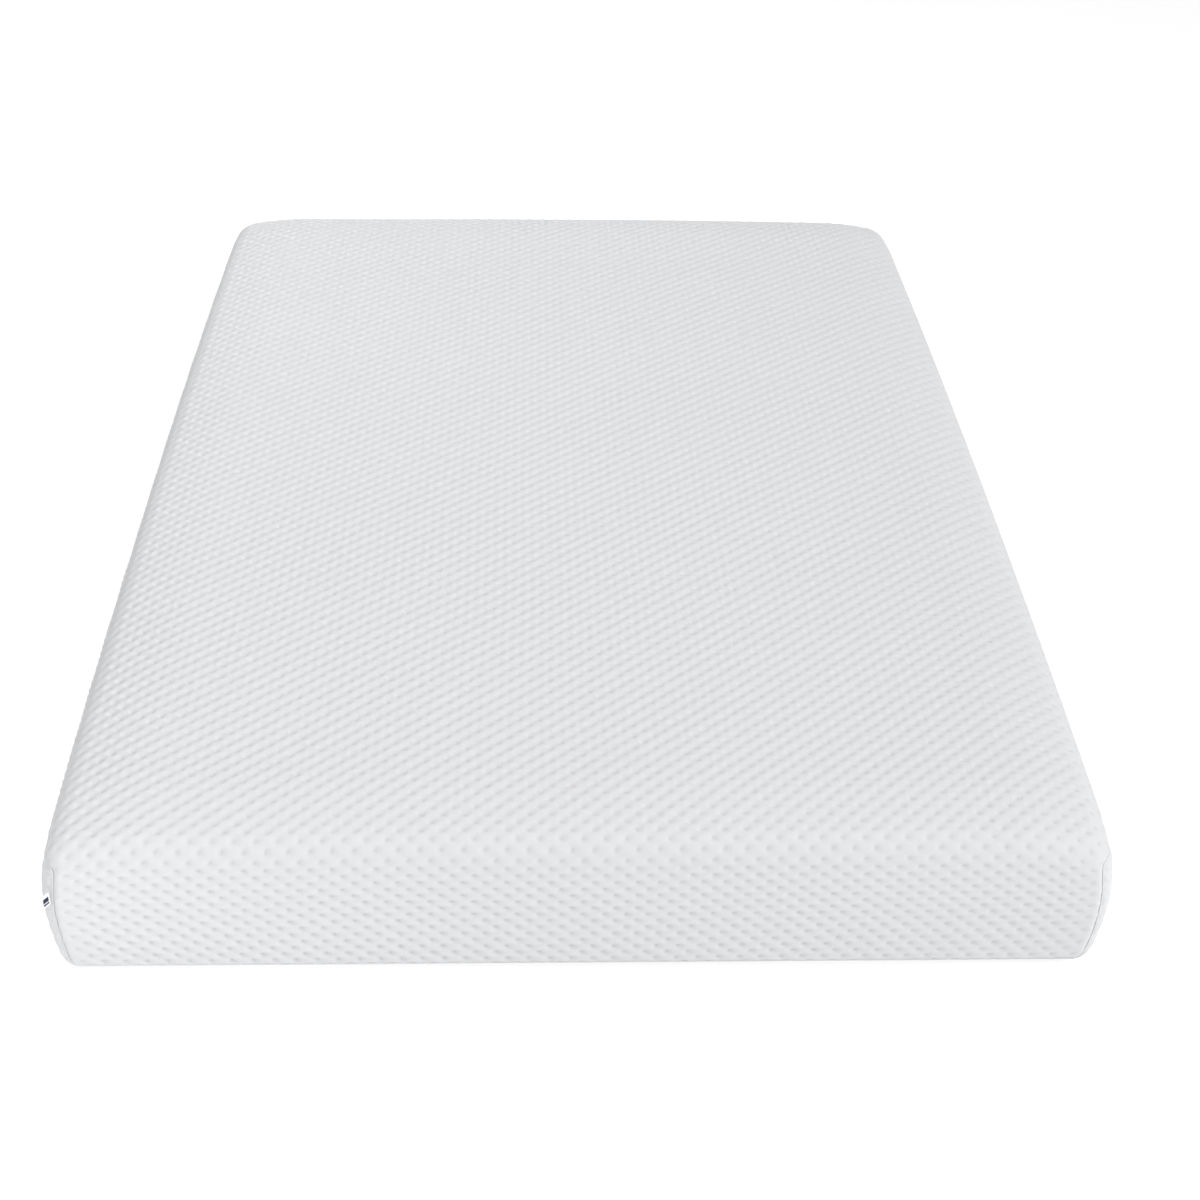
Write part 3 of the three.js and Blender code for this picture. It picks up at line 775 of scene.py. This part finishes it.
def base_ring():
    """Centre, direction along the base seam."""
    pts = []
    step = 0.0012
    corners = [(1, -1, -pi / 2), (1, 1, 0), (-1, 1, pi / 2), (-1, -1, pi)]
    for i, (sx, sy, a0) in enumerate(corners):
        for a in np.linspace(a0, a0 + pi / 2, int(RAD * pi / 2 / step) + 1)[:-1]:
            pts.append((sx * LX, sy * LY, a))
        nx, ny, _ = corners[(i + 1) % 4]
        span = math.hypot((nx - sx) * LX, (ny - sy) * LY)
        for f in np.linspace(0, 1, int(span / step) + 1)[:-1]:
            pts.append((sx * LX + (nx - sx) * LX * f, sy * LY + (ny - sy) * LY * f, a0 + pi / 2))
    pts = np.array(pts)
    ep = -SEAM_DOWN
    n = np.stack([math.cos(ep) * np.cos(pts[:, 2]), math.cos(ep) * np.sin(pts[:, 2]), np.full(len(pts), math.sin(ep))], -1)
    c = np.stack([pts[:, 0], pts[:, 1], np.full(len(pts), RAD)], -1)
    return c, n


def base_ridge():
    c, n = base_ring()
    path = deform(c + n * (RAD - 0.0009))
    length = np.concatenate([[0], np.cumsum(np.linalg.norm(np.diff(path, axis=0), axis=1))])
    whole = length[-1] + np.linalg.norm(path[0] - path[-1])
    pitch = whole / round(whole / 0.0036)
    sec, wrap, th = section(length, 10, 0.0015, 0.0018, pitch, 0.10)
    v, f = sweep(path, n, sec, closed=True)
    # the third channel drives the painted shade in each stitch's pinch
    st = np.stack([np.repeat(length, 10), np.tile(th[0] * 0.0015, len(c)), np.clip(wrap, -1, 1).ravel()], -1)
    return mesh_of("base_seam_overlock", v, face_groups(f), st)


dress(seam_ridge("seam_left_overlock", True), "seam", replaces=["seam_left"])
dress(seam_ridge("seam_right_overlock", False), "seam", replaces=["seam_right"])
dress(base_ridge(), "seam", replaces=["base_seam"])


# ---------------------------------------------------------------- foam core and its sleeve
def slab(name, z0, z1, low_round, high_round, inset=0.0085):
    """One foam layer; the edges are cut round where low_round and high_round say, and eased elsewhere."""
    r = RAD - inset
    prof = [(0.0, z0)]
    for a in np.linspace(0, pi / 2, 6)[0:]:
        prof.append((r - low_round + low_round * math.sin(a), z0 + low_round * (1 - math.cos(a))))
    for f in np.linspace(0, 1, 8)[1:-1]:
        prof.append((r, z0 + low_round + (z1 - z0 - low_round - high_round) * f))
    for a in np.linspace(0, pi / 2, 6):
        prof.append((r - high_round + high_round * math.cos(a), z1 - high_round * (1 - math.sin(a))))
    prof.append((0.0, z1))
    cen, ang, rr, zz, faces = block(LX, LY, prof, 56, 80, 8)
    p = np.stack([cen[:, 0] + rr * np.cos(ang), cen[:, 1] + rr * np.sin(ang), zz], -1)
    side = (rr > r * 0.98)
    cut = 0.0005 * waves(p[:, 0] * 3 + p[:, 1] * 3, p[:, 2] * 9, int(z0 * 1e4) % 97, n=7, low=1, high=4)
    p[:, 0] += np.where(side, cut * np.cos(ang), 0)
    p[:, 1] += np.where(side, cut * np.sin(ang), 0)
    return mesh_of(name, deform(p), faces, sharp=50)


dress(slab("support_foam_layer", 0.0082, 0.1347, 0.012, 0.002), "support_foam", replaces=["support_foam"])
dress(slab("transition_foam_layer", 0.1350, 0.1717, 0.002, 0.002), "transition_foam", replaces=["transition_foam"])
dress(slab("memory_foam_layer", 0.1720, 0.2217, 0.002, 0.015), "memory_foam", replaces=["memory_foam"])


def sleeve():
    """The stockinette sock: an outer and an inner skin, joined round the mouth at the head end."""
    skins = []
    for inset in (0.0064, 0.0074):
        r = RAD - inset
        prof = [(0.0, inset)]
        for a in np.linspace(0, pi / 2, 7)[1:]:
            prof.append((r * math.sin(a), RAD - r * math.cos(a)))
        for z in (0.040, 0.055, 0.080, 0.105, 0.130, 0.155, 0.175, 0.190):
            prof.append((r, z))
        for a in np.linspace(0, pi / 2, 7)[:-1]:
            prof.append((r * math.cos(a), H - RAD + r * math.sin(a)))
        prof.append((0.0, H - inset))
        cen, ang, rr, zz, faces = block(LX, LY, prof, 50, 72, 6)
        skins.append((np.stack([cen[:, 0] + rr * np.cos(ang), cen[:, 1] + rr * np.sin(ang), zz], -1), faces))
    n = len(skins[0][0])
    p0 = skins[0][0]
    four, three = skins[0][1]
    mid = p0[four].mean(1)
    hole = (np.abs(mid[:, 0]) < 0.600) & (mid[:, 1] > LY + 0.5 * (RAD - 0.0064)) & (mid[:, 2] > 0.040) & (mid[:, 2] < 0.190)
    keep, cut = four[~hole], four[hole]
    edges = np.concatenate([cut[:, [0, 1]], cut[:, [1, 2]], cut[:, [2, 3]], cut[:, [3, 0]]])
    own = {(int(a), int(b)) for a, b in edges}
    rim = np.array([(a, b) for a, b in own if (b, a) not in own])
    rims = np.stack([rim[:, 0], rim[:, 1], rim[:, 1] + n, rim[:, 0] + n], -1)
    verts = np.concatenate([p0, skins[1][0]])
    ripple = 0.00015 * np.cos(2 * pi * verts[:, 0] / 0.012)
    verts[:, 2] += np.where(verts[:, 2] > 0.2, ripple, 0)
    st = np.stack([verts[:, 0], verts[:, 1] + verts[:, 2], np.zeros(len(verts))], -1)
    inner4, inner3 = keep[:, ::-1] + n, three[:, ::-1] + n
    return mesh_of("core_sleeve_stockinette", deform(verts), [keep, inner4, rims, three, inner3], st, sharp=60)


dress(sleeve(), "sleeve", replaces=["core_sleeve"])


# ---------------------------------------------------------------- zip
def tape(name, z0, z1, sign):
    """Woven tape: a thin strip with a selvedge and a thicker band by the coil, which ripples a little."""
    y = np.linspace(-0.932, 0.932, 933)[None]
    v = np.linspace(0, 1, 17)[:, None]
    z = z0 + (z1 - z0) * v + 0 * y
    inner_side = (z0 if sign > 0 else z1)
    d = np.abs(z - inner_side)
    rib = 0.00010 * np.cos(2 * pi * d / 0.0019) * smooth(0.002, 0.004, d)
    edge = -0.00025 * smooth(0.0134, 0.0150, d)
    x_out = 0.69685 + rib + edge + 0.00006 * np.cos(2 * pi * y / 0.0024)
    x_in = 0.69600 + 0 * x_out
    outer = np.stack([x_out, y + 0 * z, z], -1)
    inner = np.stack([x_in, y + 0 * z, z], -1)
    st = np.stack([y + 0 * z, z, 0 * z], -1)
    nr, nc = outer.shape[0] - 1, outer.shape[1] - 1
    # keep a multiple of the coarse step
    return shell(name, outer[:, : nc // 4 * 4 + 1], inner[::4, : nc // 4 * 4 + 1 : 4], st[:, : nc // 4 * 4 + 1], step=4)


dress(tape("zip_tape_upper_woven", 0.0604, 0.0754, 1), "zip_tape", replaces=["zip_tape_upper"])
dress(tape("zip_tape_lower_woven", 0.0446, 0.0596, -1), "zip_tape", replaces=["zip_tape_lower"])


def coil(name, sign):
    """A moulded nylon coil: one wire wound round, swollen where each turn meets the other side's."""
    pitch, per = 0.0018, 12
    turns = int((0.910 + 0.914) / pitch)
    th = np.arange(turns * per) * (2 * pi / per)
    y = -0.9135 + th / (2 * pi) * pitch + (pitch / 2 if sign < 0 else 0)
    head = np.clip(np.cos(th), 0, 1) ** 2
    z = ZIP_Z + sign * (0.00168 - 0.00108 * np.cos(th))
    x = 0.69828 + 0.00072 * np.sin(th)
    path = np.stack([x, y, z], -1)
    sides = 6
    a = np.linspace(0, 2 * pi, sides, endpoint=False)[None]
    r = (0.00030 + 0.00008 * head)[:, None]
    sec = np.stack([r * np.cos(a), r * np.sin(a)], -1)
    ref = np.tile([0.0, 1.0, 0.0], (len(path), 1))
    v, f = sweep(path, ref, sec)
    return mesh_of(name, v, face_groups(f))


dress(coil("zip_coil_upper_turns", 1), "zip_coil", replaces=["zip_coil_upper"])
dress(coil("zip_coil_lower_turns", -1), "zip_coil", replaces=["zip_coil_lower"])


def zip_tab(name, y0, y1):
    """A folded tab of knit over the end of the slot, with a sewn box on it."""
    half_y, half_z, thick = (y1 - y0) / 2 - 0.0020, 0.0042, 0.0037
    r = 0.0020
    prof = [(0.0, 0.0), (r * 0.6, 0.0), (r, 0.0006)]
    prof += [(r, thick * 0.45), (r * 0.92, thick * 0.72), (r * 0.62, thick * 0.90), (0.0, thick * 0.94)]
    cen, ang, rr, zz, faces = block(half_y, half_z, prof, 40, 18, 5)
    a, b = cen[:, 0] + rr * np.cos(ang), cen[:, 1] + rr * np.sin(ang)
    top_side = zz > thick * 0.7
    box = np.maximum(np.abs(a) - (half_y - 0.0016), np.abs(b) - (half_z - 0.0014))
    crown = 0.0004 * (1 - (a / half_y / 1.3) ** 2) - 0.00035 * np.exp(-((box / 0.0006) ** 2))
    x = 0.6972 + zz + np.where(top_side, crown, 0)
    p = np.stack([x, (y0 + y1) / 2 + a, ZIP_Z + b], -1)
    st = np.stack([a, b, np.ones(len(a))], -1)
    return mesh_of(name, p, faces, st, sharp=60)


dress(zip_tab("zip_end_tab_foot_knit", -0.9437, -0.9190), "knit", replaces=["zip_end_tab_foot"])
dress(zip_tab("zip_end_tab_head_knit", 0.9210, 0.9437), "knit", replaces=["zip_end_tab_head"])


def topstitch(name, low):
    """Rows of thread stitches beside the zip, sewn through the border's edge."""
    y = np.arange(-0.930, 0.930, 0.0042)
    z = ZIP_Z + (ZIP_GAP + 0.007) * (-1 if low else 1)
    th = np.linspace(0, 2 * pi, 8, endpoint=False)[None]
    f = np.linspace(-1, 1, 9)
    parts = []
    for k, yy in enumerate(y):
        along = yy + 0.00165 * f
        lift = -0.0006 + 0.0007 * (1 - f**4)
        path = np.stack([np.full(9, 0.69985) + lift, along, np.full(9, z)], -1)
        r = 0.00028 * np.sqrt(np.clip(1.06 - f**2, 0.04, 1))[:, None]
        sec = np.stack([r * np.cos(th), r * np.sin(th)], -1)
        parts.append(sweep(path, np.tile([1.0, 0, 0], (9, 1)), sec))
    v, faces = merge(parts)
    st = np.stack([v[:, 1], v[:, 2], np.ones(len(v))], -1)
    return mesh_of(name, v, face_groups(faces), st)


dress(topstitch("zip_topstitch_upper", False), "seam")
dress(topstitch("zip_topstitch_lower", True), "seam")

for node in ("zip_slider", "zip_pull", "zip_top_stop_upper", "zip_top_stop_lower", "zip_bottom_stop"):
    ob = NODES[node]
    ob.data.materials.clear()
    ob.data.materials.append(MAT["zip_metal"])
    bev = ob.modifiers.new("edges", "BEVEL")
    bev.width = 0.00022
    bev.segments = 2
    bev.limit_method = "ANGLE"
    bev.angle_limit = rad(35)
    bev.use_clamp_overlap = True


# ---------------------------------------------------------------- labels
def ribbon(name, pivot, direction, z0, z1, out, gap, ply, curl, start=0.0006):
    """A ribbon folded in half and sewn into a seam: out along one ply, round the fold, back along the other."""
    d = np.array([math.cos(rad(direction)), math.sin(rad(direction)), 0.0])
    side = np.array([-d[1], d[0], 0.0])
    r = gap / 2
    n_run, n_fold = 24, 8
    run = np.linspace(start, out - r - ply, n_run)
    fold = np.linspace(-pi / 2, pi / 2, n_fold + 2)[1:-1]
    line = [(x, -r * smooth(0.0, 0.006, x)[()] - 0.00004) for x in run]
    line += [(out - r - ply + r * math.cos(a), r * math.sin(a)) for a in fold]
    line += [(x, r * smooth(0.0, 0.006, x)[()] + 0.00004) for x in run[::-1]]
    line = np.array(line)
    t = np.gradient(line, axis=0)
    t /= np.linalg.norm(t, axis=1)[:, None]
    nrm = np.stack([t[:, 1], -t[:, 0]], -1)  # outwards of the fold
    rows = 27
    zz = np.linspace(z0, z1, rows)
    grid_out, grid_in, st_o = [], [], []
    for z in zz:
        f = (z - z0) / (z1 - z0)
        bend = curl * (line[:, 0] / out) ** 2 * (0.6 + 0.8 * f)
        for k, target in ((0.5 * ply, grid_out), (-0.5 * ply, grid_in)):
            x = line[:, 0] + nrm[:, 0] * k
            y = line[:, 1] + nrm[:, 1] * k + bend
            p = np.array(pivot)[None] + x[:, None] * d + y[:, None] * side
            p[:, 2] = z
            target.append(p)
        on = np.concatenate([np.zeros(n_run + n_fold // 2), np.ones(len(line) - n_run - n_fold // 2)])
        st_o.append(np.stack([line[:, 0], np.full(len(line), z - z0), on], -1))
    return shell(name, np.array(grid_out), np.array(grid_in), np.array(st_o), step=1)


seam_pivot = (-0.674887, -0.997696, 0.0)
lab = ribbon("seam_label_ribbon", seam_pivot, 232, 0.1345, 0.1545, 0.016, 0.0006, 0.00030, 0.0010)
lab.data.materials.append(MAT["label"])
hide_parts("seam_label")


def bends(piece, direction):
    """Bakes the ribbon's placement into its mesh."""
    d = (math.cos(rad(direction)), math.sin(rad(direction)))
    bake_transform(piece)


bends(lab, 232)

care_pivot = (0.674887, 0.997696, 0.0)
care = ribbon("care_label_ribbon", care_pivot, 60, 0.082, 0.142, 0.032, 0.0005, 0.00026, -0.0015)
care.data.materials.append(MAT["care_label"])
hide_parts("care_label")
bends(care, 60)


# ---------------------------------------------------------------- floor, light, camera
def floor():
    n, half = 24, 14.0
    g = np.linspace(-half, half, n + 1)
    X, Y = np.meshgrid(g, g)
    p = np.stack([X.ravel(), Y.ravel(), np.full(X.size, -0.0006)], -1)
    ob = mesh_of("floor", p, [quads(n, n)])
    m = Nodes("pale_floor")
    vec = m.obj()
    tone = m.noise(vec, 0.6, 3)
    colour = m.mix(tone, (0.50, 0.50, 0.50), (0.54, 0.54, 0.54))
    m.finish(colour, m.remap(m.noise(vec, 3, 3), 0.3, 0.7, 0.75, 0.85), m.bump(m.noise(vec, 60, 2), 0.02, 0.001), spec=0.15)
    m.b.inputs["Emission Color"].default_value = (1, 1, 1, 1)
    m.b.inputs["Emission Strength"].default_value = 0.60
    ob.data.materials.append(m.mat)
    return ob


floor()

world = bpy.data.worlds.new("studio")
bpy.context.scene.world = world
world.use_nodes = True
wt = world.node_tree
wt.nodes.clear()
w_out = wt.nodes.new("ShaderNodeOutputWorld")
w_bg = wt.nodes.new("ShaderNodeBackground")
w_co = wt.nodes.new("ShaderNodeTexCoord")
w_sep = wt.nodes.new("ShaderNodeSeparateXYZ")
w_map = wt.nodes.new("ShaderNodeMapRange")
wt.links.new(w_co.outputs["Generated"], w_sep.inputs[0])
wt.links.new(w_sep.outputs[0], w_map.inputs[0])
w_map.inputs[1].default_value, w_map.inputs[2].default_value = -1.0, 1.0
w_map.inputs[3].default_value, w_map.inputs[4].default_value = 0.28, 0.31
wt.links.new(w_map.outputs[0], w_bg.inputs["Strength"])
w_bg.inputs["Color"].default_value = (1.0, 1.0, 1.0, 1)
wt.links.new(w_bg.outputs[0], w_out.inputs[0])


def area(name, pos, target, size, power, colour=(1, 1, 1)):
    data = bpy.data.lights.new(name, "AREA")
    data.shape = "RECTANGLE"
    data.size, data.size_y = size
    data.energy = power
    data.color = colour
    ob = bpy.data.objects.new(name, data)
    bpy.context.scene.collection.objects.link(ob)
    ob.location = pos
    ob.visible_camera = False
    ob.rotation_mode = "QUATERNION"
    ob.rotation_quaternion = (Vector(target) - Vector(pos)).to_track_quat("-Z", "Y")
    return ob


area("key_right", (8.0, -4.2, 8.2), (0.0, 0.0, 0.1), (2.6, 2.6), 830)
area("front_edge", (0.2, -3.0, 2.2), (0.0, -1.0, 0.2), (2.2, 0.5), 14)
area("fill_left", (-1.15, -1.85, 0.45), (-0.64, -1.0, 0.14), (0.35, 0.35), 3.2)
area("fill_right", (1.35, -2.0, 0.50), (0.60, -1.0, 0.14), (0.35, 0.35), 1.0)
area("over", (-1.7, 1.1, 3.5), (-1.1, 0.9, 0.0), (3.0, 3.0), 72)

PITCH, YAW, ROLL = rad(34.73475), rad(-2.52858), rad(-1.42101)
forward = np.array([-math.sin(YAW) * math.cos(PITCH), math.cos(YAW) * math.cos(PITCH), -math.sin(PITCH)])
rightward = np.array([math.cos(YAW), math.sin(YAW), 0.0])
downward = np.cross(forward, rightward)
c_, s_ = math.cos(ROLL), math.sin(ROLL)
cam_right = c_ * rightward + s_ * downward
cam_down = -s_ * rightward + c_ * downward
cam = bpy.data.objects.new("camera", bpy.data.cameras.new("camera"))
bpy.context.scene.collection.objects.link(cam)
cam.data.sensor_width = 36.0
cam.data.lens = 1871.263 / 1200 * 36.0
cam.data.clip_start, cam.data.clip_end = 0.05, 100
place = Matrix(
    (
        (cam_right[0], -cam_down[0], -forward[0], -0.06493),
        (cam_right[1], -cam_down[1], -forward[1], -2.74117 + SHIFT_Y),
        (cam_right[2], -cam_down[2], -forward[2], 1.81737),
        (0, 0, 0, 1),
    )
)
cam.matrix_world = place
bpy.context.scene.camera = cam
bpy.context.scene.view_settings.view_transform = "Standard"
bpy.context.scene.view_settings.look = "None"
